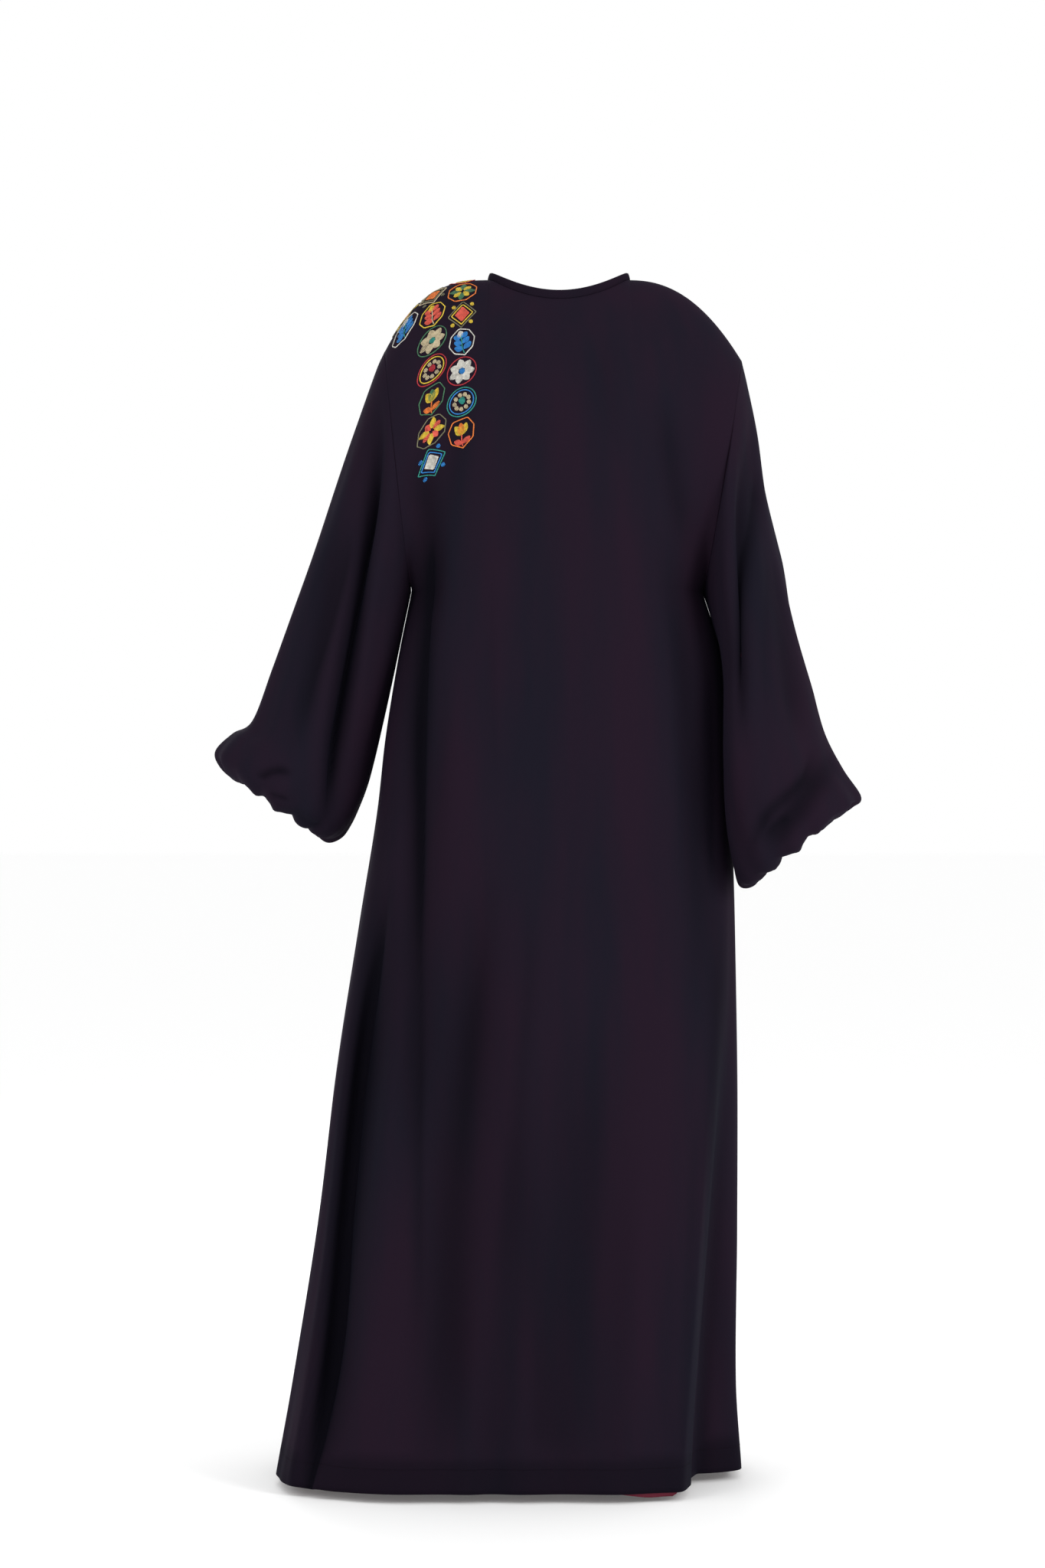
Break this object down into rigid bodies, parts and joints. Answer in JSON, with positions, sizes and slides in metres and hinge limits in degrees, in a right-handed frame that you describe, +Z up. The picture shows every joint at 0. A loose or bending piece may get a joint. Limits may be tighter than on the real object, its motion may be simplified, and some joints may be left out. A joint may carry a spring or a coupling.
{
  "type": "abaya",
  "caption": "Long loose abaya as worn and hollow: round neck, lapped fronts, deep armholes and wide bishop sleeves gathered into narrow cuffs.",
  "frame": {"origin": "between the two points where the shoulder seams meet the neckline, 8 mm below them, where a wearer carries the robe", "axes": "+Z up along the standing wearer, -Y the way the robe's front faces, +X the wearer's left"},
  "size_m": [0.7818, 0.3835, 1.4604],
  "materials": {
    "cloth": "dark crepe with a soft sheen",
    "lining": "maroon lining, satin"
  },
  "bodies": {
    "root": {"back_panel": "cloth", "front_right": "cloth", "front_left": "cloth", "sleeve_left": "cloth", "sleeve_right": "cloth", "cuff_left": "cloth", "cuff_right": "cloth", "neck_band": "cloth", "back_lining": "lining"}
  },
  "joints": []
}
